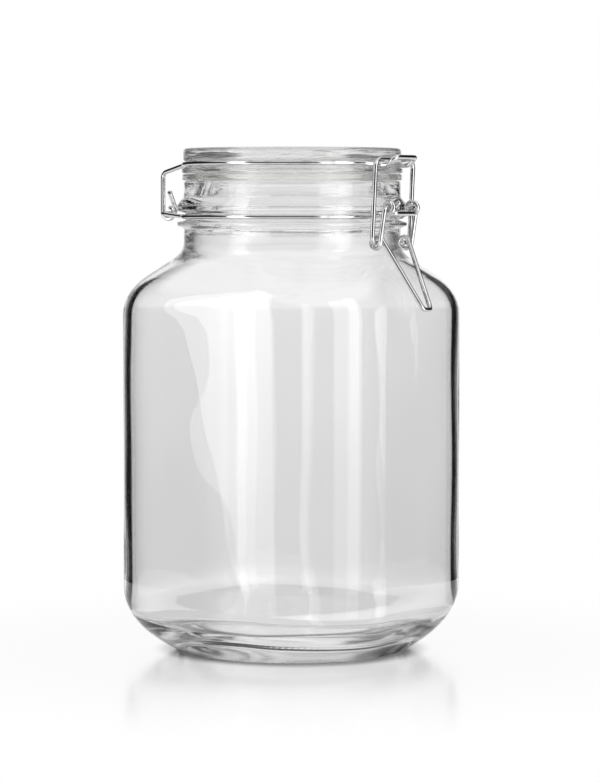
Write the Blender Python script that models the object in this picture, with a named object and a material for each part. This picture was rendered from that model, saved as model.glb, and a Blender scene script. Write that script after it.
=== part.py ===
"""Three-litre clip-top preserving jar, modelled closed and empty.

The latch is at the front (-Y), the hinge is at the back (+Y) and +Z is up.
The origin lies on the ground under the middle of the whole outline, so the
jar's own axis stands a little behind it, to make room for the lever's tip.
"""

import math

import bpy
from mathutils import Vector

MM = 0.001

# Glass body: a rounded square that becomes round at the neck and at the foot
HALF_SIDE = 69.7 * MM
CORNER_RADIUS = 42.0 * MM
WALL = 3.8 * MM
FACETS = 48
FOOT_OUTER = 53.3 * MM
FOOT_INNER = 49.0 * MM
FOOT_EDGE = 1.2 * MM
PUNT_EDGE = 46.5 * MM
PUNT_EDGE_Z = 2.6 * MM
PUNT_FILLET = 2.0 * MM
PUNT_Z = 4.4 * MM
HEEL_Z = 14.1 * MM
HEEL_FILLET = 36.5 * MM
FLOOR_Z = 9.5 * MM
FLOOR_FILLET = 15.0 * MM
SHOULDER_LOW_Z = 170.7 * MM
SHOULDER_FILLET = 26.5 * MM
SHOULDER_TOP_Z = 189.4 * MM
NECK_FILLET = 11.5 * MM

# Glass neck, its two beads and the groove between them that holds the wire
NECK_RADIUS = 51.6 * MM
BEAD_RADIUS = 53.6 * MM
NECK_GROOVE_RADIUS = 50.9 * MM
NECK_GROOVE_Z = 206.2 * MM
NECK_GROOVE_HALF = 1.6 * MM
BEAD_FLANK = 1.1 * MM
BEAD_EDGE = 0.8 * MM
LOWER_BEAD_Z = 201.9 * MM
LOWER_ROOT_FILLET = 1.2 * MM
UPPER_BEAD_Z = 211.6 * MM
UPPER_BEAD_ROUND = 1.6 * MM
BEAD_ROOT_Z = 215.5 * MM
BEAD_ROOT_FILLET = 3.0 * MM
RIM_Z = 223.0 * MM
RIM_EDGE = 1.0 * MM
MOUTH_RADIUS = 46.9 * MM

# Gasket between the rim and the lid's flange
GAP = 0.3 * MM
GASKET_INNER = 46.4 * MM
GASKET_OUTER = 52.3 * MM
GASKET_THICKNESS = 3.0 * MM
GASKET_EDGE = 0.5 * MM

# Glass lid
FLANGE_RADIUS = 52.5 * MM
FLANGE_LOW_Z = RIM_Z + GASKET_THICKNESS + 2 * GAP
FLANGE_TOP_Z = 228.8 * MM
FLANGE_EDGE = 0.8 * MM
LID_RADIUS = 51.8 * MM
LID_TOP_Z = 238.5 * MM
LID_TOP_EDGE = 1.2 * MM
LID_RIM_WIDTH = 4.0 * MM
LID_DISH_Z = 237.5 * MM
LID_DISH_FLANK = 2.0 * MM
LID_DISH_EDGE = 1.0 * MM
LID_GROOVE_RADIUS = 50.2 * MM
LID_GROOVE_Z = 231.1 * MM
LID_GROOVE_HALF = 0.9 * MM
LID_GROOVE_FLANK = 1.0 * MM
PLUG_TOP_RADIUS = 45.9 * MM
PLUG_TIP_RADIUS = 43.4 * MM
PLUG_TIP_Z = 220.5 * MM
PLUG_EDGE = 1.2 * MM
PLUG_BORE = 38.5 * MM
PLUG_BORE_DRAFT = 1.5 * MM
PLUG_BORE_FILLET = 2.5 * MM
LID_UNDERSIDE_Z = 231.0 * MM

# Wire, and the turned eyes that join its pieces
WIRE_RADIUS = 1.1 * MM
EYE_RADIUS = 2.65 * MM
EYE_PITCH = 2.6 * MM
PIN_BEND = 2.5 * MM
TIGHT_BEND = 2.0 * MM
WIDE_BEND = 3.5 * MM
RING_STEP = math.radians(10)
EYE_STEP = math.radians(22.5)

# How far a straight facet may stand off the true curve
GLASS_SAG = 0.2 * MM
WIRE_SAG = 0.05 * MM

# Pivots, as reach from the jar's axis and height
HINGE_REACH = 63.2 * MM
HINGE_Z = 207.6 * MM
LATCH_REACH = 59.9 * MM
LATCH_Z = 210.4 * MM
TOGGLE_REACH = 54.7 * MM
TOGGLE_Z = 194.1 * MM

# The two long runs in the grooves, and the knees where they leave them, as side and reach
NECK_RING_RADIUS = 52.4 * MM
NECK_BACK_SIDE = 24.3 * MM
NECK_BACK_KNEE = (20.8 * MM, 49.3 * MM)
NECK_FRONT_SIDE = 17.5 * MM
NECK_FRONT_KNEE = (15.4 * MM, 50.6 * MM)
LID_RING_RADIUS = 51.8 * MM
LID_BACK_SIDE = 20.8 * MM
LID_BACK_KNEE = (16.2 * MM, 51.2 * MM)
LID_FRONT_SIDE = 15.7 * MM
LID_FRONT_KNEE = (11.8 * MM, 51.8 * MM)
KNEE_DROP = 0.4 * MM

# Eyelets for the lever's pins, and the bar between them
EYELET_START = -97
EYELET_END = 270
EYELET_RUN_REACH = 55.2 * MM
BAR_REACH = LATCH_REACH + 2.4 * MM

# Places across the latch, counted from its middle
EYELET_SIDE = 11.7 * MM
ARM_SIDE = 14.3 * MM
BAIL_SIDE = 17.0 * MM
HOOK_SIDE = 5.6 * MM
HOOK_RISE = 3.0 * MM
HOOK_OUT = 3.0 * MM
HOOK_BEND = 1.6 * MM

# Lever: one wire from hook to arm, coil, leg and tip
TIP_REACH = 74.3 * MM
TIP_Z = 163.2 * MM
TIP_SIDE = 3.3 * MM
TIP_BEND = 2.7 * MM

# Bail: the loop whose crossbar presses on the lid's tab
CROSSBAR_REACH = 56.6 * MM
CROSSBAR_Z = 232.7 * MM
BAIL_BEND = 4.0 * MM
BAIL_PIN_END = 9.4 * MM

# Tab at the front of the lid's wire
TAB_SIDE = 9.6 * MM
TAB_LOW_Z = 230.1 * MM
TAB_FLAT_START = 54.9 * MM
TAB_FLAT_END = 58.0 * MM
TAB_END_REACH = 62.9 * MM
TAB_END_Z = 233.9 * MM
TAB_END_BEND = 2.8 * MM

# Loop and tails at the hinge
LOOP_SIDE = 13.0 * MM
LOOP_REACH = HINGE_REACH + EYE_RADIUS
LOOP_TOP_Z = 227.0 * MM
LOOP_BEND = 3.2 * MM
HINGE_EYE_START = -285
TAIL_LOW_SIDE = 5.0 * MM
TAIL_TOP_SIDE = 8.6 * MM
TAIL_REACH = 65.3 * MM
TAIL_TOP_Z = 218.6 * MM
HINGE_PIN_SIDE = 17.4 * MM

# The lever's tip reaches further out than the body does at the back
AXIS_Y = (TIP_REACH + WIRE_RADIUS - HALF_SIDE) / 2


def clear_scene():
    """Remove what a new file starts with."""
    for thing in list(bpy.data.objects):
        bpy.data.objects.remove(thing, do_unlink=True)


def principled(name, colour, roughness, metallic=0.0, transmission=0.0, alpha=1.0):
    """A Principled material with the piece's colour and gloss."""
    material = bpy.data.materials.new(name)
    material.use_nodes = True
    shader = material.node_tree.nodes["Principled BSDF"]
    shader.inputs["Base Color"].default_value = (*colour, 1.0)
    shader.inputs["Roughness"].default_value = roughness
    shader.inputs["Metallic"].default_value = metallic
    shader.inputs["Transmission Weight"].default_value = transmission
    shader.inputs["Alpha"].default_value = alpha
    return material


def pivot(name, place, parent=None):
    """An empty at a point given from the jar's foot, which pieces turn about."""
    empty = bpy.data.objects.new(name, None)
    empty.empty_display_size = 10 * MM
    bpy.context.collection.objects.link(empty)
    empty.parent = parent
    empty["place"] = tuple(place)
    empty.location = Vector(place) - (Vector(parent["place"]) if parent else Vector())
    return empty


def rounded(corners, sag):
    """Points along straight runs whose corners are rounded by arcs.

    Each corner is (point, radius). A radius of 0 keeps the point as it is.
    Chords of an arc stand off it by sag at most.
    """
    points = []
    for i, (corner, radius) in enumerate(corners):
        if radius == 0 or i in (0, len(corners) - 1):
            points.append(corner.copy())
            continue
        back = (corners[i - 1][0] - corner).normalized()
        ahead = (corners[i + 1][0] - corner).normalized()
        turn = math.pi - back.angle(ahead)
        if turn < math.radians(1):
            points.append(corner.copy())
            continue
        middle = corner + (back + ahead).normalized() * radius / math.cos(turn / 2)
        start = corner + back * radius * math.tan(turn / 2) - middle
        end = corner + ahead * radius * math.tan(turn / 2) - middle
        steps = math.ceil(turn / (2 * math.acos(1 - min(1.0, sag / radius))))
        for k in range(steps + 1):
            share = k / steps
            blend = math.sin((1 - share) * turn) * start + math.sin(share * turn) * end
            points.append(middle + blend / math.sin(turn))
    return points


def profile(corners):
    """A rounded outline from (reach, height, radius) corners."""
    bends = [(Vector((x, 0, z)), r) for x, z, r in corners]
    return [(p.x, p.z) for p in rounded(bends, GLASS_SAG)]


def corner_radius(size):
    """The corner radius of the body's outer outline where it is this wide."""
    share = max(0.0, (size - NECK_RADIUS) / (HALF_SIDE - NECK_RADIUS))
    return size if share == 0 else NECK_RADIUS + share * (CORNER_RADIUS - NECK_RADIUS)


def outline_reach(size, radius, angle):
    """How far a rounded square of this half side reaches in one direction."""
    along = max(abs(math.cos(angle)), abs(math.sin(angle)))
    across = min(abs(math.cos(angle)), abs(math.sin(angle)))
    centre = size - radius
    if size * across / along <= centre:
        return size / along
    shadow = centre * (along + across)
    return shadow + math.sqrt(max(0.0, shadow**2 - 2 * centre**2 + radius**2))


def ring(size, height, wall=0.0):
    """One level ring of points. wall is how far it lies inside the outer outline."""
    radius = corner_radius(size + wall) - wall
    places = []
    for k in range(FACETS):
        angle = 2 * math.pi * k / FACETS
        reach = outline_reach(size, radius, angle)
        places.append((reach * math.cos(angle), reach * math.sin(angle), height))
    return places


def lathe(name, rings, material, parent, poles=None):
    """A closed solid through level rings, with its ends drawn to poles or joined."""
    vertices = [place for level in rings for place in level]
    faces = []
    joined = len(rings) if poles is None else len(rings) - 1
    for i in range(joined):
        low = i * FACETS
        high = (i + 1) % len(rings) * FACETS
        for k in range(FACETS):
            after = (k + 1) % FACETS
            faces.append((low + k, low + after, high + after, high + k))
    if poles is not None:
        first, last = len(vertices), len(vertices) + 1
        top = (len(rings) - 1) * FACETS
        vertices += [(0.0, 0.0, z) for z in poles]
        for k in range(FACETS):
            after = (k + 1) % FACETS
            faces.append((first, after, k))
            faces.append((last, top + k, top + after))
    shift = Vector(parent["place"])
    mesh = bpy.data.meshes.new(name)
    mesh.from_pydata([Vector(v) - shift for v in vertices], [], faces)
    mesh.validate()
    mesh.materials.append(material)
    mesh.shade_smooth()
    mesh.set_sharp_from_angle(angle=math.radians(50))
    solid = bpy.data.objects.new(name, mesh)
    bpy.context.collection.objects.link(solid)
    solid.parent = parent
    return solid


def front(side, reach, height):
    """A point at the latch: sideways, out from the axis, up."""
    return Vector((side, -reach, height))


def back(side, reach, height):
    """A point at the hinge: sideways, out from the axis, up."""
    return Vector((side, reach, height))


def eye(face, reach, height, start, end, side_from, side_to):
    """Helical turn round a pivot that runs sideways. Angles are in degrees from outward."""
    steps = math.ceil(abs(math.radians(end - start)) / EYE_STEP)
    points = []
    for k in range(steps + 1):
        share = k / steps
        angle = math.radians(start + share * (end - start))
        side = side_from + share * (side_to - side_from)
        out = reach + EYE_RADIUS * math.cos(angle)
        up = height + EYE_RADIUS * math.sin(angle)
        points.append((face(side, out, up), 0))
    return points


def half_ring(radius, height, back_side, front_side):
    """The wire's run in a groove, from beside the hinge round to beside the latch."""
    start = math.asin(back_side / radius)
    end = math.pi - math.asin(front_side / radius)
    steps = math.ceil((end - start) / RING_STEP)
    angles = [start + (end - start) * k / steps for k in range(steps + 1)]
    return [(back(radius * math.sin(a), radius * math.cos(a), height), 0) for a in angles]


def wire(name, half, material, parent):
    """A bent wire that runs through half, from its end to the middle, and then mirrored."""
    mirrored = [(Vector((-p.x, p.y, p.z)), r) for p, r in reversed(half)]
    run = rounded(half + mirrored, WIRE_SAG)
    shift = Vector(parent["place"])
    curve = bpy.data.curves.new(name, "CURVE")
    curve.dimensions = "3D"
    curve.bevel_depth = WIRE_RADIUS
    curve.bevel_resolution = 2
    curve.use_fill_caps = True
    spline = curve.splines.new("POLY")
    spline.points.add(len(run) - 1)
    for point, place in zip(spline.points, run):
        point.co = (*(place - shift), 1.0)
    spline.use_smooth = True
    curve.materials.append(material)
    solid = bpy.data.objects.new(name, curve)
    bpy.context.collection.objects.link(solid)
    solid.parent = parent
    return solid


def jar_glass(material, parent):
    """The blown body: one wall from the punt, up the outside, over the rim and down inside."""
    groove_low = NECK_GROOVE_Z - NECK_GROOVE_HALF
    groove_high = NECK_GROOVE_Z + NECK_GROOVE_HALF
    slope = (HALF_SIDE - NECK_RADIUS) / (SHOULDER_TOP_Z - SHOULDER_LOW_Z)
    lean = math.atan(slope)
    inner_side = HALF_SIDE - WALL
    inner_low_z = SHOULDER_LOW_Z - WALL * math.tan(math.pi / 4 - lean / 2)
    inner_top_z = inner_low_z + (inner_side - MOUTH_RADIUS) / slope
    outside = profile(
        [
            (PUNT_EDGE / 2, PUNT_Z - (PUNT_Z - PUNT_EDGE_Z) / 4, 0),
            (PUNT_EDGE, PUNT_EDGE_Z, PUNT_FILLET),
            (FOOT_INNER, 0, 0),
            (FOOT_OUTER, 0, FOOT_EDGE),
            (HALF_SIDE, HEEL_Z, HEEL_FILLET),
            (HALF_SIDE, SHOULDER_LOW_Z, SHOULDER_FILLET),
            (NECK_RADIUS, SHOULDER_TOP_Z, NECK_FILLET),
            (NECK_RADIUS, LOWER_BEAD_Z - LOWER_ROOT_FILLET, LOWER_ROOT_FILLET),
            (BEAD_RADIUS, LOWER_BEAD_Z, BEAD_EDGE),
            (BEAD_RADIUS, groove_low - BEAD_FLANK, BEAD_EDGE),
            (NECK_GROOVE_RADIUS, groove_low, 0),
            (NECK_GROOVE_RADIUS, groove_high, 0),
            (BEAD_RADIUS, groove_high + BEAD_FLANK, BEAD_EDGE),
            (BEAD_RADIUS, UPPER_BEAD_Z, UPPER_BEAD_ROUND),
            (NECK_RADIUS, BEAD_ROOT_Z, BEAD_ROOT_FILLET),
            (NECK_RADIUS, RIM_Z, RIM_EDGE),
            ((NECK_RADIUS + MOUTH_RADIUS) / 2, RIM_Z, 0),
        ]
    )
    inside = profile(
        [
            ((NECK_RADIUS + MOUTH_RADIUS) / 2, RIM_Z, 0),
            (MOUTH_RADIUS, RIM_Z, RIM_EDGE),
            (MOUTH_RADIUS, inner_top_z, NECK_FILLET),
            (inner_side, inner_low_z, SHOULDER_FILLET - WALL),
            (inner_side, FLOOR_Z, FLOOR_FILLET),
            (PUNT_EDGE / 2, FLOOR_Z, 0),
        ]
    )
    rings = [ring(size, z) for size, z in outside]
    rings += [ring(size, z, WALL) for size, z in inside[1:]]
    return lathe("jar_glass", rings, material, parent, poles=(PUNT_Z, FLOOR_Z))


def lid_glass(material, parent):
    """The pressed lid: a hollow plug, a flange over the gasket, and a grooved side."""
    groove_low = LID_GROOVE_Z - LID_GROOVE_HALF
    groove_high = LID_GROOVE_Z + LID_GROOVE_HALF
    outline = profile(
        [
            (PLUG_BORE / 2, LID_UNDERSIDE_Z, 0),
            (PLUG_BORE - PLUG_BORE_DRAFT, LID_UNDERSIDE_Z, PLUG_BORE_FILLET),
            (PLUG_BORE, PLUG_TIP_Z, PLUG_EDGE),
            (PLUG_TIP_RADIUS, PLUG_TIP_Z, PLUG_EDGE),
            (PLUG_TOP_RADIUS, FLANGE_LOW_Z, 0),
            (FLANGE_RADIUS, FLANGE_LOW_Z, FLANGE_EDGE),
            (FLANGE_RADIUS, FLANGE_TOP_Z, FLANGE_EDGE),
            (LID_RADIUS, (FLANGE_TOP_Z + groove_low) / 2, 0),
            (LID_GROOVE_RADIUS, groove_low, 0),
            (LID_GROOVE_RADIUS, groove_high, 0),
            (LID_RADIUS, groove_high + LID_GROOVE_FLANK, 0),
            (LID_RADIUS, LID_TOP_Z, LID_TOP_EDGE),
            (LID_RADIUS - LID_RIM_WIDTH, LID_TOP_Z, LID_DISH_EDGE),
            (LID_RADIUS - LID_RIM_WIDTH - LID_DISH_FLANK, LID_DISH_Z, LID_DISH_EDGE),
            (PLUG_BORE / 2, LID_DISH_Z, 0),
        ]
    )
    rings = [ring(size, z) for size, z in outline]
    return lathe("lid_glass", rings, material, parent, poles=(LID_UNDERSIDE_Z, LID_DISH_Z))


def gasket(material, parent):
    """The flat ring of rubber that the lid carries round its plug."""
    low = RIM_Z + GAP
    high = low + GASKET_THICKNESS
    outline = [
        (GASKET_INNER, low),
        (GASKET_OUTER - GASKET_EDGE, low),
        (GASKET_OUTER, low + GASKET_EDGE),
        (GASKET_OUTER, high - GASKET_EDGE),
        (GASKET_OUTER - GASKET_EDGE, high),
        (GASKET_INNER, high),
    ]
    return lathe("gasket", [ring(size, z) for size, z in outline], material, parent)


def neck_wire(material, parent):
    """The fixed wire: tail, hinge pin, run in the groove, eyelet, front bar."""
    bar_z = LATCH_Z - EYE_RADIUS
    inner_eyelet = EYELET_SIDE - EYE_PITCH
    half = [
        (back(TAIL_TOP_SIDE, TAIL_REACH, TAIL_TOP_Z), 0),
        (back(TAIL_LOW_SIDE, HINGE_REACH, HINGE_Z), PIN_BEND),
        (back(HINGE_PIN_SIDE, HINGE_REACH, HINGE_Z), PIN_BEND),
        (back(*NECK_BACK_KNEE, NECK_GROOVE_Z), WIDE_BEND),
    ]
    half += half_ring(NECK_RING_RADIUS, NECK_GROOVE_Z, NECK_BACK_SIDE, NECK_FRONT_SIDE)
    half += [
        (front(*NECK_FRONT_KNEE, NECK_GROOVE_Z), TIGHT_BEND),
        (front(EYELET_SIDE, EYELET_RUN_REACH, bar_z - KNEE_DROP), WIDE_BEND),
    ]
    half += eye(front, LATCH_REACH, LATCH_Z, EYELET_START, EYELET_END, EYELET_SIDE, inner_eyelet)
    half.append((front(inner_eyelet, BAR_REACH, bar_z), TIGHT_BEND))
    return wire("neck_wire", half, material, parent)


def lid_wire(material, parent):
    """The lid's wire: hinge eye, leg, loop corner, run in the groove, front tab."""
    free_end = LOOP_SIDE - EYE_PITCH
    knee_z = LID_GROOVE_Z - KNEE_DROP
    half = eye(back, HINGE_REACH, HINGE_Z, HINGE_EYE_START, 0, free_end, LOOP_SIDE)
    half += [
        (back(LOOP_SIDE, LOOP_REACH, LOOP_TOP_Z), LOOP_BEND),
        (back(*LID_BACK_KNEE, knee_z), WIDE_BEND),
    ]
    half += half_ring(LID_RING_RADIUS, LID_GROOVE_Z, LID_BACK_SIDE, LID_FRONT_SIDE)
    half += [
        (front(*LID_FRONT_KNEE, knee_z), TIGHT_BEND),
        (front(TAB_SIDE, TAB_FLAT_START, TAB_LOW_Z), PIN_BEND),
        (front(TAB_SIDE, TAB_FLAT_END, TAB_LOW_Z), PIN_BEND),
        (front(TAB_SIDE, TAB_END_REACH, TAB_END_Z), TAB_END_BEND),
    ]
    return wire("lid_wire", half, material, parent)


def lever(material, parent):
    """The lever: hooked pin, arm, coil round the bail's pin, leg, rounded tip."""
    down = math.atan2(TOGGLE_Z - LATCH_Z, TOGGLE_REACH - LATCH_REACH)
    arm = math.hypot(TOGGLE_Z - LATCH_Z, TOGGLE_REACH - LATCH_REACH)
    arm_way = down + math.asin(EYE_RADIUS / arm)
    leg_down = math.atan2(TIP_Z - TOGGLE_Z, TIP_REACH - TOGGLE_REACH)
    leg = math.hypot(TIP_Z - TOGGLE_Z, TIP_REACH - TOGGLE_REACH)
    leg_way = leg_down - math.asin(EYE_RADIUS / leg)
    start = math.degrees(arm_way) + 90
    end = math.degrees(leg_way) + 90 - 360
    half = [
        (front(HOOK_SIDE, LATCH_REACH + HOOK_OUT, LATCH_Z + HOOK_RISE), 0),
        (front(HOOK_SIDE, LATCH_REACH, LATCH_Z), HOOK_BEND),
        (front(ARM_SIDE, LATCH_REACH, LATCH_Z), TIGHT_BEND),
    ]
    half += eye(front, TOGGLE_REACH, TOGGLE_Z, start, end, ARM_SIDE, ARM_SIDE - EYE_PITCH)
    half.append((front(TIP_SIDE, TIP_REACH, TIP_Z), TIP_BEND))
    return wire("lever", half, material, parent)


def bail(material, parent):
    """The bail: pin in the lever's coil, side wire, crossbar over the lid's tab."""
    half = [
        (front(BAIL_PIN_END, TOGGLE_REACH, TOGGLE_Z), 0),
        (front(BAIL_SIDE, TOGGLE_REACH, TOGGLE_Z), PIN_BEND),
        (front(BAIL_SIDE, CROSSBAR_REACH, CROSSBAR_Z), BAIL_BEND),
    ]
    return wire("bail", half, material, parent)


def main():
    """Build the jar closed: the fixed pieces on the foot, the moving ones on their pivots."""
    clear_scene()
    clear_glass = principled("clear_glass", (0.93, 0.96, 0.95), 0.02, transmission=1.0)
    bright_steel = principled("bright_steel", (0.78, 0.78, 0.79), 0.16, metallic=1.0)
    pale_rubber = principled("pale_rubber", (0.86, 0.87, 0.82), 0.45, alpha=0.9)

    foot = pivot("foot", (0, 0, 0))
    foot.location.y = AXIS_Y
    hinge = pivot("lid_pivot", back(0, HINGE_REACH, HINGE_Z), foot)
    latch = pivot("lever_pivot", front(0, LATCH_REACH, LATCH_Z), foot)
    toggle = pivot("bail_pivot", front(0, TOGGLE_REACH, TOGGLE_Z), latch)

    jar_glass(clear_glass, foot)
    neck_wire(bright_steel, foot)
    lid_glass(clear_glass, hinge)
    gasket(pale_rubber, hinge)
    lid_wire(bright_steel, hinge)
    lever(bright_steel, latch)
    bail(bright_steel, toggle)


main()
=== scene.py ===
"""Looks of a three-litre clip-top preserving jar, standing closed and empty in a bright studio.

The latch is at the front (-Y) and the hinge at the back (+Y). Lengths are in metres.
"""

from __future__ import annotations

import logging
import math
from collections.abc import Sequence
from dataclasses import dataclass
from enum import Enum
from itertools import accumulate

import bpy
import numpy as np
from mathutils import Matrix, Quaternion, Vector

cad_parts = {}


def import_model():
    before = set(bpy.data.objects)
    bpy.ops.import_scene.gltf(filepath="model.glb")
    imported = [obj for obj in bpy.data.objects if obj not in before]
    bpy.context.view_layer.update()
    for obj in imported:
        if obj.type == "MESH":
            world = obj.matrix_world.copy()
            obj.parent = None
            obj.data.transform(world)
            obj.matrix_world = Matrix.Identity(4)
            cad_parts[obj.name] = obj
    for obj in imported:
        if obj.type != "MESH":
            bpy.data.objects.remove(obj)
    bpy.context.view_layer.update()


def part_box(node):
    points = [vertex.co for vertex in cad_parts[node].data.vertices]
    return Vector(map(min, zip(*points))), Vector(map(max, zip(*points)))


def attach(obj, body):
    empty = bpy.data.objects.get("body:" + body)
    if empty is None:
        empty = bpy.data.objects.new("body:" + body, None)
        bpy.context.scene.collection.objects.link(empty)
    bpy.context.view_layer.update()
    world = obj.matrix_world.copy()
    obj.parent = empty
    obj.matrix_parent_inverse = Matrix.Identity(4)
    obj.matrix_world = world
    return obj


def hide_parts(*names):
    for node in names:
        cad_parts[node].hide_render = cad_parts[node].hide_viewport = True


log = logging.getLogger("clip_top_jar")

MM = 0.001
FULL_TURN = 2 * math.pi
# How far the last ring of points stays from the pole that closes it.
POLE_REACH = 0.6 * MM
# A corner that turns less than this stays as it is.
SMALLEST_TURN = math.radians(1)
Array = np.ndarray
Corner = tuple[Sequence[float], float]
Colour = tuple[float, float, float]


class Side(Enum):
    """Which side of the neck a wire's point is counted from."""

    LATCH = -1
    HINGE = 1


def unit(vector: Array) -> Array:
    """The vector divided by its own length."""
    return vector / np.linalg.norm(vector, axis=-1, keepdims=True)


def rounded(corners: Sequence[Corner], sag: float) -> Array:
    """Points along straight runs whose corners are rounded by arcs.

    An arc's centre lies on the corner's bisector at radius / cos(turn / 2). Its points are the
    slerp between the two radii that meet the straight runs.

    Args:
        corners: Each corner's point and its radius. A radius of 0 keeps the corner sharp.
        sag: How far a chord may stand off its arc.

    Returns:
        The points, one per row.
    """
    places = [np.asarray(place, float) for place, _ in corners]
    runs = [places[0][None]]
    for before, corner, after, (_, radius) in zip(places, places[1:], places[2:], corners[1:]):
        back = unit(before - corner)
        ahead = unit(after - corner)
        turn = math.pi - math.acos(float(np.clip(back @ ahead, -1, 1)))
        if radius == 0 or turn < SMALLEST_TURN:
            runs.append(corner[None])
            continue
        middle = corner + unit(back + ahead) * radius / math.cos(turn / 2)
        start = corner + back * radius * math.tan(turn / 2) - middle
        end = corner + ahead * radius * math.tan(turn / 2) - middle
        steps = math.ceil(turn / (2 * math.acos(1 - min(1.0, sag / radius))))
        share = np.linspace(0, 1, steps + 1)[:, None]
        slerp = np.sin((1 - share) * turn) * start + np.sin(share * turn) * end
        runs.append(middle + slerp / math.sin(turn))
    runs.append(places[-1][None])
    return np.concatenate(runs)


def spaced(points: Array, longest: float) -> Array:
    """The same line with more points, so that no step is longer than a given length.

    Args:
        points: Points of the line, one per row.
        longest: The longest step that is left.

    Returns:
        The old points and the new ones between them, by linear interpolation on arc length.
    """
    steps = np.linalg.norm(np.diff(points, axis=0), axis=1)
    along = np.concatenate([[0.0], np.cumsum(steps)])
    pieces = np.maximum(1, np.ceil(steps / longest)).astype(int)
    fine = [np.linspace(a, b, n, endpoint=False) for a, b, n in zip(along, along[1:], pieces)]
    where = np.concatenate([*fine, along[-1:]])
    return np.stack([np.interp(where, along, column) for column in points.T], axis=1)


def surface(name: str, grid: Array, poles: Sequence[Array] = (), joined: bool = False) -> bpy.types.Object:
    """A closed smooth mesh through a grid of points that goes round in its second direction.

    Args:
        name: The piece's name.
        grid: Points, as rows by columns by 3. On an outer side the columns run anticlockwise, seen
            with the rows coming towards the eye.
        poles: Two points that close the first and the last row, or none.
        joined: Whether the last row is joined to the first, as on a ring.

    Returns:
        The object, with a UV map that holds the share round and the length along, in metres.
    """
    rows, columns = grid.shape[:2]
    index = np.arange(rows * columns).reshape(rows, columns)
    after = np.roll(index, -1, axis=1)
    low, high = (index, np.roll(index, -1, axis=0)) if joined else (index[:-1], index[1:])
    low_after, high_after = (after, np.roll(after, -1, axis=0)) if joined else (after[:-1], after[1:])
    quads = np.stack([low, low_after, high_after, high], axis=-1).reshape(-1, 4)
    length = np.linalg.norm(np.diff(grid, axis=0, append=grid[:1]), axis=2).mean(axis=1)
    along = np.concatenate([[0.0], np.cumsum(length)])
    share = np.arange(columns + 1) / columns
    v_low, u_low = np.meshgrid(along[: len(low)], share[:-1], indexing="ij")
    v_high, u_high = np.meshgrid(along[1 : len(low) + 1], share[1:], indexing="ij")
    corners = [(u_low, v_low), (u_high, v_low), (u_high, v_high), (u_low, v_high)]
    uv = np.stack([np.stack(corner, axis=-1) for corner in corners], axis=2).reshape(-1, 2)
    places = grid.reshape(-1, 3)
    faces = quads.tolist()
    if len(poles):
        places = np.concatenate([places, np.asarray(poles, float)])
        first, last = rows * columns, rows * columns + 1
        bottom = np.stack([np.full(columns, first), after[0], index[0]], axis=1)
        top = np.stack([np.full(columns, last), index[-1], after[-1]], axis=1)
        faces += bottom.tolist() + top.tolist()
        caps = np.zeros((2 * columns * 3, 2))
        uv = np.concatenate([uv, caps])
    mesh = bpy.data.meshes.new(name)
    mesh.from_pydata(places.tolist(), [], faces)
    layer = mesh.uv_layers.new(name="along")
    layer.data.foreach_set("uv", uv.astype(np.float32).ravel())
    mesh.shade_smooth()
    piece = bpy.data.objects.new(name, mesh)
    bpy.context.scene.collection.objects.link(piece)
    return piece


@dataclass(frozen=True)
class Socket:
    """One output of a node, which Python's operators turn into Math nodes."""

    graph: Graph
    link: bpy.types.NodeSocket

    def _math(self, operation: str, *values: Socket | float) -> Socket:
        """A Math node that works on these values."""
        return self.graph.node("ShaderNodeMath", {"operation": operation}, dict(enumerate(values)))

    def __add__(self, other: Socket | float) -> Socket:
        """The sum."""
        return self._math("ADD", self, other)

    def __sub__(self, other: Socket | float) -> Socket:
        """The difference."""
        return self._math("SUBTRACT", self, other)

    def __rsub__(self, other: float) -> Socket:
        """A number minus this value."""
        return self._math("SUBTRACT", other, self)

    def __mul__(self, other: Socket | float) -> Socket:
        """The product."""
        return self._math("MULTIPLY", self, other)

    def __truediv__(self, other: Socket | float) -> Socket:
        """The quotient."""
        return self._math("DIVIDE", self, other)

    def __pow__(self, other: Socket | float) -> Socket:
        """This value raised to a power."""
        return self._math("POWER", self, other)

    __radd__ = __add__
    __rmul__ = __mul__

    def smallest(self, other: Socket | float) -> Socket:
        """The smaller of the two values."""
        return self._math("MINIMUM", self, other)

    def rise(self, low: float, high: float) -> Socket:
        """0 below low, 1 above high, and a smooth step between them."""
        settings = {"interpolation_type": "SMOOTHSTEP"}
        values = {"Value": self, "From Min": low, "From Max": high}
        return self.graph.node("ShaderNodeMapRange", settings, values)


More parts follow.
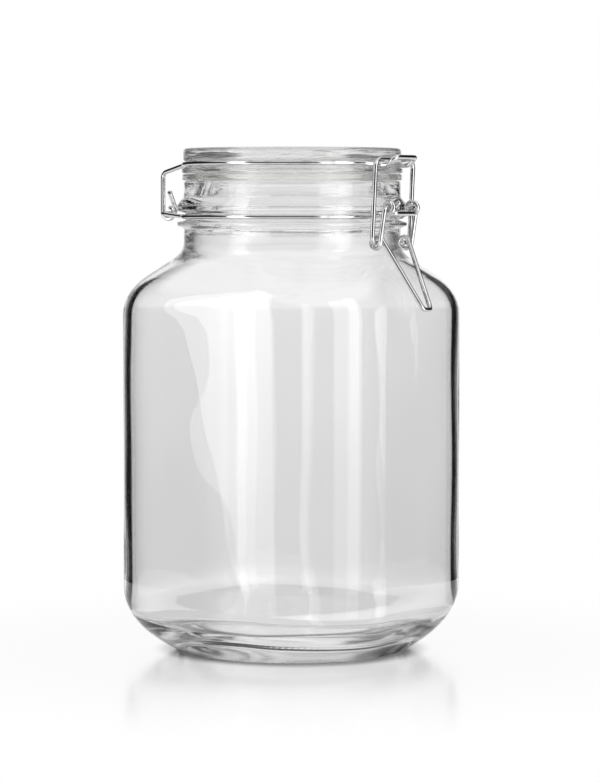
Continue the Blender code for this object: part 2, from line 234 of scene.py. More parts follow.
class Graph:
    """The nodes of one material, world or light."""

    def __init__(self, owner: bpy.types.ID) -> None:
        """Start with an empty tree on the owner."""
        owner.use_nodes = True
        self.tree = owner.node_tree
        self.tree.nodes.clear()

    def node(
        self,
        kind: str,
        settings: dict[str, object] | None = None,
        values: dict[str | int, object] | None = None,
        output: str | int = 0,
    ) -> Socket:
        """Add a node.

        Args:
            kind: The node's type.
            settings: Its own settings, which are set before its sockets.
            values: What its sockets are set or linked to, by name or number.
            output: The output that is handed back.

        Returns:
            That output.
        """
        made = self.tree.nodes.new(kind)
        for key, value in (settings or {}).items():
            setattr(made, key, value)
        for key, value in (values or {}).items():
            if isinstance(value, Socket):
                self.tree.links.new(value.link, made.inputs[key])
            else:
                made.inputs[key].default_value = value
        return Socket(self, made.outputs[output] if len(made.outputs) else None)

    def mix(self, share: Socket, low: Colour, high: Colour) -> Socket:
        """A colour that goes from low to high with the share. Sockets 6 and 7 hold the two colours."""
        values = {"Factor": share, 6: (*low, 1.0), 7: (*high, 1.0)}
        return self.node("ShaderNodeMix", {"data_type": "RGBA"}, values, output=2)

    def noise(self, place: Socket, scale: float, detail: float) -> Socket:
        """Noise from 0 to 1, with so many waves a metre."""
        values = {"Vector": place, "Scale": scale, "Detail": detail}
        return self.node("ShaderNodeTexNoise", {}, values)

    def stretched(self, place: Socket, scale: Sequence[float]) -> Socket:
        """The place with each of its directions scaled."""
        return self.node("ShaderNodeMapping", {}, {"Vector": place, "Scale": scale})

    def place(self, name: str = "Object") -> Socket:
        """Coordinates: Object for the piece itself, UV for its own map, Generated for a world's way."""
        return self.node("ShaderNodeTexCoord", output=name)

    def bump(self, height: Socket, depth: float, strength: float = 1.0) -> Socket:
        """A normal bent by a height from 0 to 1 that stands for a depth in metres."""
        values = {"Height": height, "Distance": depth, "Strength": strength}
        return self.node("ShaderNodeBump", {}, values)


def new_finish(name: str) -> tuple[bpy.types.Material, Graph]:
    """A new material without nodes, and its graph."""
    material = bpy.data.materials.new(name)
    return material, Graph(material)


def grey(value: float) -> tuple[float, float, float, float]:
    """A colour with all three parts alike."""
    return (value, value, value, 1.0)


@dataclass(frozen=True)
class PressedGlass:
    """Clear soda-lime glass: slow waves from the mould, fine streaks round it, and duller places.

    Heights are counted from the ground with the jar closed.
    """

    name: str
    tint: Colour = (0.977, 0.972, 0.975)
    refraction: float = 1.5
    wave_scale: float = 28.0
    wave_depth: float = 0.09 * MM
    wave_stretch: float = 0.45
    streak_stretch: float = 8.0
    streaks_from: float = 190.0 * MM
    streaks_full: float = 198.0 * MM
    streaks: float = 1.4
    film_scale: float = 60.0
    film_range: tuple[float, float] = (0.56, 0.8)
    film_roughness: float = 0.03
    dull_from: float = 188.0 * MM
    dull_to: float = 200.0 * MM
    dull_edge: float = 3.0 * MM
    dull_roughness: float = 0.15
    dull_streaks: float = 0.0
    foot_to: float = 12.0 * MM
    foot_roughness: float = 0.12

    def material(self) -> bpy.types.Material:
        """The glass.

        Waves and streaks are noise on the normal. The waves are drawn out upwards and the streaks
        sideways. The streaks start at a height, and the dull band can have more of them. The film
        of handling is noise on the roughness, and the dull band and the dull foot are added to it.

        Returns:
            The material.
        """
        material, graph = new_finish(self.name)
        place = graph.place()
        up = graph.node("ShaderNodeSeparateXYZ", {}, {0: place}, output="Z")
        waves = graph.noise(graph.stretched(place, (1.0, 1.0, self.wave_stretch)), self.wave_scale, 1.0)
        fine = graph.noise(graph.stretched(place, (1.0, 1.0, self.streak_stretch)), self.wave_scale, 2.0)
        pressed = up.rise(self.streaks_from, self.streaks_full) * self.streaks
        film = graph.noise(place, self.film_scale, 3.0).rise(*self.film_range)
        above = up.rise(self.dull_from, self.dull_from + self.dull_edge)
        dull = above * (1 - up.rise(self.dull_to - self.dull_edge, self.dull_to))
        foot = 1 - up.rise(0, self.foot_to)
        worn = dull * self.dull_roughness + foot * self.foot_roughness
        shader = graph.node(
            "ShaderNodeBsdfPrincipled",
            {},
            {
                "Base Color": (*self.tint, 1.0),
                "Roughness": film * self.film_roughness + worn,
                "IOR": self.refraction,
                "Transmission Weight": 1.0,
                "Normal": graph.bump(waves + fine * (pressed + dull * self.dull_streaks), self.wave_depth),
            },
        )
        graph.node("ShaderNodeOutputMaterial", {}, {"Surface": shader})
        return material


@dataclass(frozen=True)
class DrawnSteel:
    """Bright drawn wire: fine lines run along it, with a few duller patches."""

    name: str = "bright_drawn_steel"
    bright: Colour = (0.72, 0.72, 0.73)
    dull: Colour = (0.52, 0.52, 0.53)
    smooth: float = 0.09
    worn: float = 0.18
    wear_scale: float = 160.0
    wear_range: tuple[float, float] = (0.5, 0.72)
    line_scale: tuple[float, float, float] = (26.0, 30.0, 1.0)
    line_depth: float = 0.005 * MM

    def material(self) -> bpy.types.Material:
        """The steel. Lines are noise stretched along the wire's own map."""
        material, graph = new_finish(self.name)
        along = graph.stretched(graph.place("UV"), self.line_scale)
        lines = graph.noise(along, 1.0, 3.0)
        wear = graph.noise(graph.place(), self.wear_scale, 3.0).rise(*self.wear_range)
        shader = graph.node(
            "ShaderNodeBsdfPrincipled",
            {},
            {
                "Base Color": graph.mix(wear, self.bright, self.dull),
                "Metallic": 1.0,
                "Roughness": self.smooth + wear * (self.worn - self.smooth),
                "Normal": graph.bump(lines, self.line_depth),
            },
        )
        graph.node("ShaderNodeOutputMaterial", {}, {"Surface": shader})
        return material


@dataclass(frozen=True)
class PaleSilicone:
    """Thin cloudy silicone of the seal, a little yellow-green."""

    name: str = "pale_silicone"
    clear: Colour = (0.975, 0.98, 0.955)
    cloudy: Colour = (0.945, 0.95, 0.915)
    cloud_scale: float = 90.0
    cloud_range: tuple[float, float] = (0.35, 0.7)
    cloud_roughness: float = 0.1
    roughness: float = 0.12
    refraction: float = 1.3
    transmission: float = 0.93
    grain_scale: float = 900.0
    grain_depth: float = 0.05 * MM
    grain_strength: float = 0.4

    def material(self) -> bpy.types.Material:
        """The silicone, with clouds in its colour and a fine moulded grain."""
        material, graph = new_finish(self.name)
        place = graph.place()
        clouds = graph.noise(place, self.cloud_scale, 3.0).rise(*self.cloud_range)
        grain = graph.noise(place, self.grain_scale, 2.0)
        shader = graph.node(
            "ShaderNodeBsdfPrincipled",
            {},
            {
                "Base Color": graph.mix(clouds, self.clear, self.cloudy),
                "Roughness": self.roughness + clouds * self.cloud_roughness,
                "IOR": self.refraction,
                "Transmission Weight": self.transmission,
                "Normal": graph.bump(grain, self.grain_depth, self.grain_strength),
            },
        )
        graph.node("ShaderNodeOutputMaterial", {}, {"Surface": shader})
        return material


def square_reach(size: Array, radius: Array, angle: Array) -> Array:
    """How far a rounded square reaches in one direction.

    On a flat it is size / cos(angle). On a corner it is the far crossing of the ray with the
    corner's circle, whose centre lies size - radius out along both axes.

    Args:
        size: Half sides, as a column.
        radius: Corner radii, as a column.
        angle: Directions, as a row.

    Returns:
        The reach for each pair of size and direction.
    """
    along = np.maximum(np.abs(np.cos(angle)), np.abs(np.sin(angle)))
    across = np.minimum(np.abs(np.cos(angle)), np.abs(np.sin(angle)))
    centre = size - radius
    shadow = centre * (along + across)
    corner = shadow + np.sqrt(np.maximum(0.0, shadow**2 - 2 * centre**2 + radius**2))
    return np.where(size * across / along <= centre, size / along, corner)


@dataclass
class Body:
    """The blown body: rounded square, shoulder, round neck with two beads, foot with a punt."""

    axis_y: float
    half_side: float
    corner: float = 42.0 * MM
    wall: float = 3.8 * MM
    columns: int = 480
    row_step: float = 6.5 * MM
    sag: float = 0.045 * MM

    foot_outer: float = 53.3 * MM
    foot_inner: float = 49.0 * MM
    punt_edge: float = 46.5 * MM
    punt_edge_z: float = 2.6 * MM
    punt_z: float = 4.4 * MM
    heel_z: float = 14.1 * MM
    heel_fillet: float = 36.5 * MM
    floor_z: float = 9.5 * MM
    floor_fillet: float = 15.0 * MM
    shoulder_low_z: float = 170.7 * MM
    shoulder_fillet: float = 26.5 * MM
    shoulder_top_z: float = 189.4 * MM
    neck_fillet: float = 11.5 * MM

    neck: float = 51.6 * MM
    bead: float = 53.6 * MM
    bead_flank: float = 1.1 * MM
    lower_bead_z: float = 201.9 * MM
    groove: float = 50.9 * MM
    groove_z: float = 206.2 * MM
    groove_half: float = 1.6 * MM
    upper_bead_z: float = 211.6 * MM
    bead_root_z: float = 215.5 * MM
    rim_z: float = 223.0 * MM
    mouth: float = 46.9 * MM

    rib_count: int = 120
    rib_rise: float = 0.5 * MM
    rib_slant: float = 2.2
    ring_height: float = 0.2 * MM
    wave: float = 0.26 * MM
    wave_from: float = 20.0 * MM
    wave_full: float = 50.0 * MM
    wave_fading: float = 160.0 * MM
    wave_to: float = 185.0 * MM
    floor_wave: float = 0.30 * MM
    floor_wave_full: float = 10.0 * MM
    floor_wave_to: float = 25.0 * MM
    floor_wave_reach: float = 20.0 * MM

    def outside(self) -> list[Corner]:
        """Corners of the outer outline, from the punt up to the middle of the rim."""
        groove_low = self.groove_z - self.groove_half
        groove_high = self.groove_z + self.groove_half
        return [
            ((POLE_REACH, 0, self.punt_z), 0),
            ((self.punt_edge / 2, 0, self.punt_z - (self.punt_z - self.punt_edge_z) / 4), 60 * MM),
            ((self.punt_edge, 0, self.punt_edge_z), 1.6 * MM),
            ((self.foot_inner, 0, 0), 0.5 * MM),
            ((self.foot_outer, 0, 0), 1.2 * MM),
            ((self.half_side, 0, self.heel_z), self.heel_fillet),
            ((self.half_side, 0, self.shoulder_low_z), self.shoulder_fillet),
            ((self.neck, 0, self.shoulder_top_z), self.neck_fillet),
            ((self.neck, 0, self.lower_bead_z - 1.2 * MM), 1.2 * MM),
            ((self.bead, 0, self.lower_bead_z), 0.8 * MM),
            ((self.bead, 0, groove_low - self.bead_flank), 0.6 * MM),
            ((self.groove, 0, groove_low), 0.5 * MM),
            ((self.groove, 0, groove_high), 0.5 * MM),
            ((self.bead, 0, groove_high + self.bead_flank), 0.8 * MM),
            ((self.bead, 0, self.upper_bead_z), 1.6 * MM),
            ((self.neck, 0, self.bead_root_z), 3.0 * MM),
            ((self.neck, 0, self.rim_z), 1.0 * MM),
            (((self.neck + self.mouth) / 2, 0, self.rim_z), 0),
        ]

    def inside(self) -> list[Corner]:
        """Corners of the inner outline, from the rim down to the middle of the floor."""
        slope = (self.half_side - self.neck) / (self.shoulder_top_z - self.shoulder_low_z)
        inner_side = self.half_side - self.wall
        inner_low_z = self.shoulder_low_z - self.wall * math.tan(math.pi / 4 - math.atan(slope) / 2)
        inner_top_z = inner_low_z + (inner_side - self.mouth) / slope
        return [
            (((self.neck + self.mouth) / 2, 0, self.rim_z), 0),
            ((self.mouth, 0, self.rim_z), 1.2 * MM),
            ((self.mouth, 0, inner_top_z), self.neck_fillet),
            ((inner_side, 0, inner_low_z), self.shoulder_fillet - self.wall),
            ((inner_side, 0, self.floor_z), self.floor_fillet),
            ((POLE_REACH, 0, self.floor_z), 0),
        ]

    def reach(self, size: Array, angle: Array, wall: float) -> Array:
        """Reach of a level outline: round where it is narrow, a rounded square where it is wide."""
        share = np.maximum(0.0, (size + wall - self.neck) / (self.half_side - self.neck))
        corner = np.where(share == 0, size + wall, self.neck + share * (self.corner - self.neck))
        return square_reach(size, corner - wall, angle)

    def unevenness(self, angle: Array, height: Array) -> Array:
        """How the wall's inner face wanders: a sum of slow waves round and up, from -1 to 1."""
        waves = [(0.40, 2, 34, 0.7), (0.26, 3, -62, 2.1), (0.20, 5, 88, 4.0), (0.14, 8, -41, 1.2)]
        return sum(
            share * np.sin(turns * angle + climb * height + start) for share, turns, climb, start in waves
        )

    def build(self) -> bpy.types.Object:
        """The whole wall as one closed surface round the axis.

        The foot's bearing ring has ribs: z rises by a cosine of so many waves round, which is
        slanted by the reach and fades to nothing at the ring's two edges. The inner wall's reach
        wanders by the slow waves, and the floor's height by a product of two waves.

        Returns:
            The glass body.
        """
        angle = np.arange(self.columns)[None] * FULL_TURN / self.columns
        outer = spaced(rounded(self.outside(), self.sag), self.row_step)
        inner = spaced(rounded(self.inside(), self.sag), self.row_step)[1:]
        outer_reach = self.reach(outer[:, :1], angle, 0.0)
        inner_reach = self.reach(inner[:, :1], angle, self.wall)
        height = inner[:, 2:]
        heights = [self.wave_from, self.wave_full, self.wave_fading, self.wave_to]
        fade = np.interp(height, heights, [0, 1, 1, 0])
        inner_reach = inner_reach + self.wave * fade * self.unevenness(angle, height)
        span = np.clip((outer[:, :1] - self.foot_inner) / (self.foot_outer - self.foot_inner), 0, 1)
        on_ring = (outer[:, 2:] < self.ring_height) * np.sin(math.pi * span) ** 0.5
        ribs = self.rib_rise * on_ring * (0.5 - 0.5 * np.cos(self.rib_count * angle + self.rib_slant * span))
        reach = np.concatenate([outer_reach, inner_reach])
        settled = np.interp(height, [self.floor_wave_full, self.floor_wave_to], [1, 0])
        settled = settled * np.minimum(1, inner[:, :1] / self.floor_wave_reach)
        across = np.sin(70 * inner_reach * np.cos(angle) + 1.3) * np.cos(90 * inner_reach * np.sin(angle))
        rise = np.concatenate([outer[:, 2:] + ribs, height + self.floor_wave * settled * across])
        grid = np.stack([reach * np.cos(angle), reach * np.sin(angle) + self.axis_y, rise], axis=-1)
        poles = [(0, self.axis_y, self.punt_z), (0, self.axis_y, self.floor_z)]
        return surface("body_glass", grid, poles)


@dataclass
class Closure:
    """The pressed glass lid and the seal that lies round its plug."""

    axis_y: float
    columns: int = 240
    sag: float = 0.03 * MM
    row_step: float = 4.0 * MM

    gasket_low: float = 223.3 * MM
    gasket_high: float = 226.3 * MM
    gasket_inner: float = 46.4 * MM
    gasket_outer: float = 52.3 * MM

    flange: float = 52.5 * MM
    flange_low_z: float = 226.6 * MM
    flange_top_z: float = 228.8 * MM
    side: float = 51.8 * MM
    top_z: float = 238.5 * MM
    rim_width: float = 4.0 * MM
    dish_z: float = 237.5 * MM
    groove: float = 50.2 * MM
    groove_z: float = 231.1 * MM
    groove_half: float = 0.9 * MM
    plug_top: float = 45.9 * MM
    plug_tip: float = 43.4 * MM
    plug_tip_z: float = 220.5 * MM
    bore: float = 38.5 * MM
    underside_z: float = 231.0 * MM
    wave: float = 0.05 * MM

    def outline(self) -> list[Corner]:
        """Corners of the lid's section, from under its middle, round the plug, to its top."""
        groove_low = self.groove_z - self.groove_half
        groove_high = self.groove_z + self.groove_half
        return [
            ((POLE_REACH, 0, self.underside_z), 0),
            ((self.bore - 1.5 * MM, 0, self.underside_z), 2.5 * MM),
            ((self.bore, 0, self.plug_tip_z), 1.5 * MM),
            ((self.plug_tip, 0, self.plug_tip_z), 1.2 * MM),
            ((self.plug_top, 0, self.flange_low_z), 0.4 * MM),
            ((self.flange, 0, self.flange_low_z), 0.8 * MM),
            ((self.flange, 0, self.flange_top_z), 0.9 * MM),
            ((self.side, 0, (self.flange_top_z + groove_low) / 2), 0.2 * MM),
            ((self.groove, 0, groove_low), 0.4 * MM),
            ((self.groove, 0, groove_high), 0.4 * MM),
            ((self.side, 0, groove_high + 1.0 * MM), 0.5 * MM),
            ((self.side, 0, self.top_z), 1.2 * MM),
            ((self.side - self.rim_width, 0, self.top_z), 1.0 * MM),
            ((self.side - self.rim_width - 2.0 * MM, 0, self.dish_z), 1.5 * MM),
            ((POLE_REACH, 0, self.dish_z), 0),
        ]

    def turned(self, name: str, section: Array, poles: Sequence[float]) -> bpy.types.Object:
        """A section turned once round the jar's axis.

        Args:
            name: The piece's name.
            section: Points of reach and height, as x and z.
            poles: Heights of the two poles, or none for a ring.

        Returns:
            The turned piece. Its reach shrinks by a very slow wave, so its gloss isn't perfect.
        """
        angle = np.arange(self.columns)[None] * FULL_TURN / self.columns
        reach = section[:, :1]
        height = section[:, 2:]
        uneven = self.wave * np.sin(3 * angle + 150 * height) * np.clip(reach / self.side, 0, 1)
        reach = reach - np.abs(uneven)
        level = height + 0 * angle
        grid = np.stack([reach * np.cos(angle), reach * np.sin(angle) + self.axis_y, level], axis=-1)
        return surface(name, grid, [(0, self.axis_y, z) for z in poles], joined=not poles)

    def lid(self) -> bpy.types.Object:
        """The lid."""
        section = spaced(rounded(self.outline(), self.sag), self.row_step)
        return self.turned("lid_pressed", section, (self.underside_z, self.dish_z))

    def seal(self) -> bpy.types.Object:
        """The seal: a flat ring with rounded edges."""
        low, high = self.gasket_low, self.gasket_high
        inner, outer = self.gasket_inner, self.gasket_outer
        edge = 0.7 * MM
        section = rounded(
            [
                ((inner, 0, (low + high) / 2), 0),
                ((inner, 0, low), edge),
                ((outer, 0, low), edge),
                ((outer, 0, high), edge),
                ((inner, 0, high), edge),
                ((inner, 0, (low + high) / 2 + 0.01 * MM), 0),
            ],
            self.sag,
        )
        return self.turned("seal_ring", section, ())


@dataclass
class Wiring:
    """The four bent wires: neck, lid, lever and bail. Each is a half and its mirror image."""

    axis_y: float
    neck_groove_z: float
    lid_groove_z: float
    wire: float = 1.1 * MM
    sides: int = 20
    sag: float = 0.006 * MM
    step: float = 2.0 * MM
    shortest_step: float = 1e-7
    eye: float = 2.65 * MM
    pitch: float = 2.6 * MM

    hinge_reach: float = 63.2 * MM
    hinge_z: float = 207.6 * MM
    latch_reach: float = 59.9 * MM
    latch_z: float = 210.4 * MM
    toggle_reach: float = 54.7 * MM
    toggle_z: float = 194.1 * MM

    neck_ring: float = 52.4 * MM
    lid_ring: float = 51.8 * MM
    ring_points: int = 80
    turn_step: float = 9.0
    dome_share: float = 0.45

    eyelet_side: float = 11.7 * MM
    arm_side: float = 14.3 * MM
    bail_side: float = 17.0 * MM

    def at(self, side: Side, across: float, reach: float, height: float) -> tuple[float, float, float]:
        """A point counted sideways, out from the jar's axis, and up."""
        return (across, self.axis_y + side.value * reach, height)

    def turn(
        self, side: Side, centre: tuple[float, float], ends: tuple[float, float], sides: tuple[float, float]
    ) -> list[Corner]:
        """A helical turn round a pivot that runs sideways.

        Args:
            side: The side of the neck.
            centre: Reach and height of the pivot.
            ends: First and last angle in degrees, counted from straight outward.
            sides: Sideways places of the two ends.

        Returns:
            Points on the circle of the eye's radius, moved evenly sideways.
        """
        count = math.ceil(abs(ends[1] - ends[0]) / self.turn_step) + 1
        angle = np.radians(np.linspace(*ends, count))
        across = np.linspace(*sides, count)
        out = centre[0] + self.eye * np.cos(angle)
        up = centre[1] + self.eye * np.sin(angle)
        return [(self.at(side, *place), 0) for place in zip(across, out, up)]

    def half_ring(self, radius: float, height: float, hinge_side: float, latch_side: float) -> list[Corner]:
        """The run in a groove, from beside the hinge round to beside the latch, as a circle's arc.

        Args:
            radius: The arc's radius round the jar's axis.
            height: The groove's height.
            hinge_side: How far to the side the arc starts, by the hinge.
            latch_side: How far to the side it ends, by the latch.

        Returns:
            Points of the arc.
        """
        start = math.asin(hinge_side / radius)
        end = math.pi - math.asin(latch_side / radius)
        angle = np.linspace(start, end, self.ring_points)
        return [(self.at(Side.HINGE, radius * math.sin(a), radius * math.cos(a), height), 0) for a in angle]

    def tube(self, name: str, half: list[Corner]) -> bpy.types.Object:
        """A round wire along a path and its mirror image.

        Each ring is the path's point plus radius * (cos * normal + sin * binormal). The normal is
        carried along the path by taking out its part along each new tangent. The ends are domed.

        Args:
            name: The piece's name.
            half: The path's corners from its end to the middle.

        Returns:
            The wire.
        """
        mirrored = [((-x, y, z), radius) for (x, y, z), radius in reversed(half)]
        path = spaced(rounded(half + mirrored, self.sag), self.step)
        steps = np.linalg.norm(np.diff(path, axis=0), axis=1)
        path = path[np.concatenate([[True], steps > self.shortest_step])]
        chords = unit(np.diff(path, axis=0))
        tangents = unit(np.concatenate([chords[:1], chords[:-1] + chords[1:], chords[-1:]]))
        reference = np.eye(3)[np.argmin(np.abs(tangents[0]))]
        first = unit(reference - (reference @ tangents[0]) * tangents[0])
        carried = accumulate(tangents[1:], lambda old, t: unit(old - (old @ t) * t), initial=first)
        normals = np.array(list(carried))
        binormals = np.cross(tangents, normals)
        dome = np.radians([80, 60, 40, 20])
        inset = self.wire * self.dome_share * np.sin(dome)[:, None]
        start = path[0] + tangents[0] * (inset[0] - inset)
        end = path[-1] - tangents[-1] * (inset[0] - inset[::-1])
        centres = np.concatenate([start, path[1:-1], end])
        ring = np.concatenate([np.cos(dome), np.ones(len(path) - 2), np.cos(dome[::-1])])
        repeats = [len(dome), *[1] * (len(path) - 2), len(dome)]
        normals = normals.repeat(repeats, 0)[:, None]
        binormals = binormals.repeat(repeats, 0)[:, None]
        angle = (np.arange(self.sides) * FULL_TURN / self.sides)[None, :, None]
        spokes = np.cos(angle) * normals + np.sin(angle) * binormals
        grid = centres[:, None] + self.wire * ring[:, None, None] * spokes
        return surface(name, grid, [path[0], path[-1]])

    def neck(self) -> bpy.types.Object:
        """The fixed wire: upturned tail, hinge pin, run in the groove, eyelet, front bar."""
        bar_z = self.latch_z - self.eye
        inner = self.eyelet_side - self.pitch
        hinge, latch = Side.HINGE, Side.LATCH
        half = [
            (self.at(hinge, 8.6 * MM, 65.3 * MM, 218.6 * MM), 0),
            (self.at(hinge, 5.0 * MM, self.hinge_reach, self.hinge_z), 2.5 * MM),
            (self.at(hinge, 17.4 * MM, self.hinge_reach, self.hinge_z), 2.5 * MM),
            (self.at(hinge, 20.8 * MM, 49.3 * MM, self.neck_groove_z), 3.5 * MM),
        ]
        half += self.half_ring(self.neck_ring, self.neck_groove_z, 24.3 * MM, 17.5 * MM)
        half += [
            (self.at(latch, 15.4 * MM, 50.6 * MM, self.neck_groove_z), 2.0 * MM),
            (self.at(latch, self.eyelet_side, 55.2 * MM, bar_z - 0.4 * MM), 3.5 * MM),
        ]
        half += self.turn(latch, (self.latch_reach, self.latch_z), (-97, 270), (self.eyelet_side, inner))
        half.append((self.at(latch, inner, self.latch_reach + 2.4 * MM, bar_z), 2.0 * MM))
        return self.tube("neck_band", half)

    def lid(self) -> bpy.types.Object:
        """The lid's wire: hinge eye, leg, loop corner, run in the groove, front tab."""
        corner_z = self.lid_groove_z - 0.4 * MM
        side = 13.0 * MM
        tab = 9.6 * MM
        tab_z = 230.1 * MM
        hinge, latch = Side.HINGE, Side.LATCH
        half = self.turn(hinge, (self.hinge_reach, self.hinge_z), (-285, 0), (side - self.pitch, side))
        half += [
            (self.at(hinge, side, self.hinge_reach + self.eye, 227.0 * MM), 3.2 * MM),
            (self.at(hinge, 16.2 * MM, 51.2 * MM, corner_z), 3.5 * MM),
        ]
        half += self.half_ring(self.lid_ring, self.lid_groove_z, 20.8 * MM, 15.7 * MM)
        half += [
            (self.at(latch, 11.8 * MM, self.lid_ring, corner_z), 2.0 * MM),
            (self.at(latch, tab, 54.9 * MM, tab_z), 2.5 * MM),
            (self.at(latch, tab, 58.0 * MM, tab_z), 2.5 * MM),
            (self.at(latch, tab, 62.9 * MM, 233.9 * MM), 2.8 * MM),
        ]
        return self.tube("lid_band", half)

    def lever(self) -> bpy.types.Object:
        """The lever: hooked pin, arm, coil round the bail's pin, leg, rounded tip.

        Arm and leg are tangents to the coil, so each is turned from the line of centres by the
        arc sine of the eye's radius over that line's length.
        """
        tip_reach, tip_z, tip_side = 74.3 * MM, 163.2 * MM, 3.3 * MM
        arm = (self.toggle_reach - self.latch_reach, self.toggle_z - self.latch_z)
        leg = (tip_reach - self.toggle_reach, tip_z - self.toggle_z)
        arm_way = math.atan2(arm[1], arm[0]) + math.asin(self.eye / math.hypot(*arm))
        leg_way = math.atan2(leg[1], leg[0]) - math.asin(self.eye / math.hypot(*leg))
        ends = (math.degrees(arm_way) + 90, math.degrees(leg_way) - 270)
        latch = Side.LATCH
        half = [
            (self.at(latch, 5.6 * MM, self.latch_reach + 3.0 * MM, self.latch_z + 3.0 * MM), 0),
            (self.at(latch, 5.6 * MM, self.latch_reach, self.latch_z), 1.6 * MM),
            (self.at(latch, self.arm_side, self.latch_reach, self.latch_z), 2.0 * MM),
        ]
        sides = (self.arm_side, self.arm_side - self.pitch)
        half += self.turn(latch, (self.toggle_reach, self.toggle_z), ends, sides)
        half.append((self.at(latch, tip_side, tip_reach, tip_z), 2.7 * MM))
        return self.tube("lever_loop", half)

    def bail(self) -> bpy.types.Object:
        """The bail: pin in the lever's coil, side wire, crossbar over the lid's tab."""
        latch = Side.LATCH
        half = [
            (self.at(latch, 9.4 * MM, self.toggle_reach, self.toggle_z), 0),
            (self.at(latch, self.bail_side, self.toggle_reach, self.toggle_z), 2.5 * MM),
            (self.at(latch, self.bail_side, 56.6 * MM, 232.7 * MM), 4.0 * MM),
        ]
        return self.tube("bail_loop", half)


@dataclass
class Studio:
    """Camera, lights, surrounding light and the glossy white table."""

    axis_y: float
    view_azimuth: float = -57.5
    distance: float = 1.4713
    height: float = 0.2125
    pitch: float = 3.48
    focal_pixels: float = 3087.0
    frame_height: float = 782.0
    axis_left_pixels: float = 7.7
    table_radius: float = 0.30
    light_distance: float = 0.50
    light_height: float = 0.30
    # A light's lower end glows at this share, up to where its height's share is in the fade.
    light_low: float = 0.5
    light_fade: tuple[float, float] = (0.16, 0.33)
    # Degrees off the middle of the backdrop.
    backdrop_full: float = 15.0
    backdrop_end: float = 22.0
    # Between these heights of a direction, its unit vector's z, the surroundings change.
    horizon: tuple[float, float] = (-0.16, 0.02)
    overhead: tuple[float, float] = (0.55, 0.75)
    floor: tuple[float, float] = (-0.22, -0.14)
    # Brightness seen straight or through glass, and seen as a mirror image.
    direct_level: float = 0.80
    direct_rise: float = 0.18
    room_level: float = 0.008
    room_rise: float = 0.87
    backdrop_rise: float = 0.9
    # Distances from the jar's axis on the table.
    mirror_fade: tuple[float, float] = (0.04, 0.27)
    # Inner and outer edges of the dark ring painted on the table as the foot's contact shadow.
    painted_shadow_inner: tuple[float, float] = (0.036, 0.046)
    painted_shadow_outer: tuple[float, float] = (0.0535, 0.068)

    def camera(self) -> None:
        """A long lens at the level of the jar's neck, tilted a little down."""
        turn = math.radians(self.view_azimuth)
        back = Vector((math.sin(turn), -math.cos(turn), 0))
        right = Vector((math.cos(turn), math.sin(turn), 0))
        aside = self.axis_left_pixels / self.focal_pixels * self.distance
        data = bpy.data.cameras.new("camera")
        data.sensor_width = 36.0
        data.lens = self.focal_pixels * data.sensor_width / self.frame_height
        data.clip_start = 0.05
        camera = bpy.data.objects.new("camera", data)
        camera.location = Vector((0, self.axis_y, self.height)) + back * self.distance + right * aside
        down = math.radians(self.pitch)
        look = -back * math.cos(down) - Vector((0, 0, math.sin(down)))
        camera.rotation_euler = look.to_track_quat("-Z", "Y").to_euler()
        bpy.context.scene.collection.objects.link(camera)
        bpy.context.scene.camera = camera

    def softbox(
        self, name: str, off: float, size: tuple[float, float], level: float, lean: float = 0.0
    ) -> None:
        """A tall soft light that faces the jar.

        Args:
            name: Its name.
            off: Degrees from the camera's side, anticlockwise seen from above. The right is positive.
            size: Width and height.
            level: Brightness of its face. Its lower end glows less.
            lean: Degrees that it leans, clockwise seen from the jar.
        """
        turn = math.radians(self.view_azimuth + off)
        back = Vector((math.sin(turn), -math.cos(turn), 0))
        data = bpy.data.lights.new(name, "AREA")
        data.shape = "RECTANGLE"
        data.size, data.size_y = size
        data.energy = level * math.pi * size[0] * size[1]
        graph = Graph(data)
        face = graph.node("ShaderNodeNewGeometry", output="Parametric")
        up = graph.node("ShaderNodeSeparateXYZ", {}, {0: face}, output="Y")
        strength = self.light_low + (1 - self.light_low) * up.rise(*self.light_fade)
        glow = graph.node("ShaderNodeEmission", {}, {"Strength": strength})
        graph.node("ShaderNodeOutputLight", {}, {"Surface": glow})
        light = bpy.data.objects.new(name, data)
        light.location = Vector((0, self.axis_y, self.light_height)) + back * self.light_distance
        facing = (-back).to_track_quat("-Z", "Y")
        light.rotation_euler = (facing @ Quaternion((0, 0, 1), math.radians(lean))).to_euler()
        light.visible_camera = False
        bpy.context.scene.collection.objects.link(light)

    def surroundings(self) -> None:
        """Light from all round: white behind the jar, and dark where the glass mirrors the room.

        The dot product of a level direction and the backdrop's is the cosine of how far off it lies.
        """
        world = bpy.data.worlds.new("studio")
        bpy.context.scene.world = world
        graph = Graph(world)
        way = graph.place("Generated")
        turn = math.radians(self.view_azimuth)
        split = {name: graph.node("ShaderNodeSeparateXYZ", {}, {0: way}, output=name) for name in "XYZ"}
        flat = (split["X"] * split["X"] + split["Y"] * split["Y"]) ** 0.5
        ahead = (split["X"] * -math.sin(turn) + split["Y"] * math.cos(turn)) / flat
        up = split["Z"]
        end, full = math.radians(self.backdrop_end), math.radians(self.backdrop_full)
        backdrop = ahead.rise(math.cos(end), math.cos(full))
        mirrored = graph.node("ShaderNodeLightPath", output="Glossy Depth").smallest(1.0)
        direct = self.direct_level + self.direct_rise * up.rise(*self.horizon)
        overhead = up.rise(*self.overhead)
        floor = 1 - up.rise(*self.floor)
        between = 1 - overhead - floor
        room = self.room_level + self.room_rise * (overhead + floor) + self.backdrop_rise * backdrop * between
        seen = direct + mirrored * (room - direct)
        camera = graph.node("ShaderNodeLightPath", output="Is Camera Ray")
        level = seen + camera * (1 - seen)
        light = graph.node("ShaderNodeBackground", {}, {"Color": grey(1.0), "Strength": level})
        graph.node("ShaderNodeOutputWorld", {}, {"Surface": light})

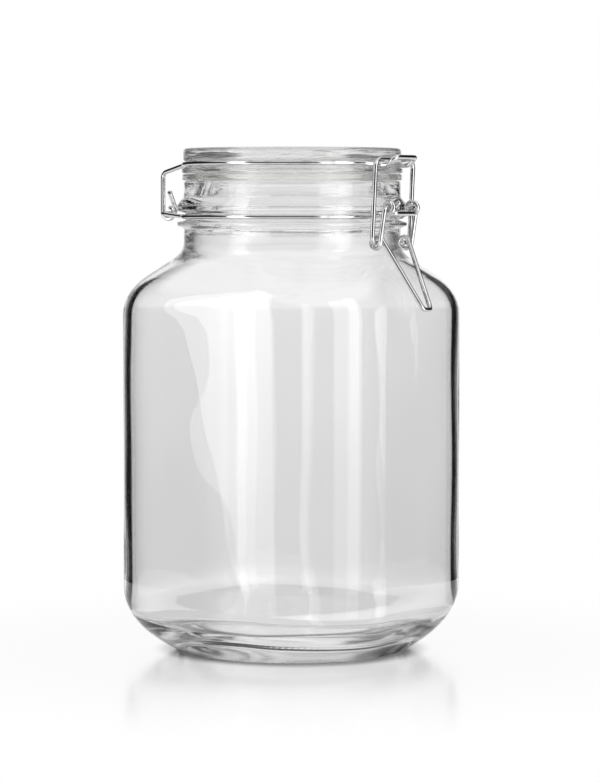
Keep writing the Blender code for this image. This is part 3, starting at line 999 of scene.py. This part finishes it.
    def table(self) -> None:
        """A round white table. It mirrors less and less outwards, and a dark ring under the foot is a painted
        contact shadow.
        """
        columns, rings = 96, 30
        top_z, thickness = -0.3 * MM, 1.0 * MM
        angle = np.arange(columns)[None] * FULL_TURN / columns
        reach = np.linspace(4 * MM, self.table_radius, rings)[:, None]
        level = 0 * reach * angle + top_z
        grid = np.stack([reach * np.cos(angle), reach * np.sin(angle), level], axis=-1)
        slab = np.concatenate([grid, grid[::-1] - np.array([0, 0, thickness])])
        table = surface("table", slab, [(0, 0, top_z), (0, 0, top_z - thickness)])
        table.location.y = self.axis_y
        material, graph = new_finish("white_table")
        place = graph.place()
        away = graph.node("ShaderNodeVectorMath", {"operation": "LENGTH"}, {0: place}, output="Value")
        camera = graph.node("ShaderNodeLightPath", output="Is Camera Ray")
        unseen_glow = 0.74
        mirror_share = 0.5
        strength = unseen_glow + camera * (1 - unseen_glow)
        glow = graph.node("ShaderNodeEmission", {}, {"Strength": strength})
        gloss = graph.node("ShaderNodeBsdfGlossy", {}, {"Color": grey(1.0), "Roughness": 0.16})
        # A dark matt grey, painted on the table as the contact shadow under the foot.
        painted_shadow_shader = graph.node("ShaderNodeBsdfDiffuse", {}, {"Color": grey(0.15)})
        near = 1 - away.rise(*self.mirror_fade)
        # The ring under the foot where the painted contact shadow lies.
        painted_shadow_ring = away.rise(*self.painted_shadow_inner) * (1 - away.rise(*self.painted_shadow_outer))
        base = graph.node("ShaderNodeMixShader", {}, {0: painted_shadow_ring, 1: glow, 2: painted_shadow_shader})
        mirror = near * camera * mirror_share
        shader = graph.node("ShaderNodeMixShader", {}, {0: mirror, 1: base, 2: gloss})
        graph.node("ShaderNodeOutputMaterial", {}, {"Surface": shader})
        table.data.materials.append(material)

    def build(self) -> None:
        """Set up the whole studio."""
        self.camera()
        self.surroundings()
        self.table()
        self.softbox("strip_left", -57.7, (0.168, 0.9), 2.5, 11.0)
        self.softbox("strip_right", 55.3, (0.143, 0.9), 2.8, -3.3)
        self.softbox("fill_right", 37.0, (0.160, 0.9), 1.4)
        scene = bpy.context.scene
        scene.view_settings.view_transform = "Standard"
        scene.cycles.max_bounces = 32
        scene.cycles.transmission_bounces = 32
        scene.cycles.glossy_bounces = 24


def dress(piece: bpy.types.Object, material: bpy.types.Material, body: str, node: str) -> None:
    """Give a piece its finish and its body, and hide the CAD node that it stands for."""
    piece.data.materials.append(material)
    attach(piece, body)
    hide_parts(node)
    log.info("%s: %d faces on %s", piece.name, len(piece.data.polygons), body)


def main() -> None:
    """Build every piece round the loaded frame."""
    logging.basicConfig(level=logging.INFO, format="%(message)s")
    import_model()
    low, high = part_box("jar_glass")
    axis_y = (low.y + high.y) / 2
    clear_body = PressedGlass("body_pressed_glass").material()
    clear_lid = PressedGlass(
        "lid_pressed_glass",
        tint=(0.87, 0.868, 0.865),
        wave_depth=0.10 * MM,
        streaks=3.5,
        dull_from=231.8 * MM,
        dull_to=237.3 * MM,
        dull_edge=0.4 * MM,
        dull_roughness=0.2,
        dull_streaks=6.0,
    ).material()
    steel = DrawnSteel().material()
    silicone = PaleSilicone().material()
    body = Body(axis_y, (high.x - low.x) / 2)
    closure = Closure(axis_y)
    wiring = Wiring(axis_y, body.groove_z, closure.groove_z)
    Studio(axis_y).build()
    dress(body.build(), clear_body, "jar", "jar_glass")
    dress(wiring.neck(), steel, "jar", "neck_wire")
    dress(closure.lid(), clear_lid, "lid", "lid_glass")
    dress(closure.seal(), silicone, "lid", "gasket")
    dress(wiring.lid(), steel, "lid", "lid_wire")
    dress(wiring.lever(), steel, "lever", "lever")
    dress(wiring.bail(), steel, "bail", "bail")


if __name__ == "__main__":
    main()
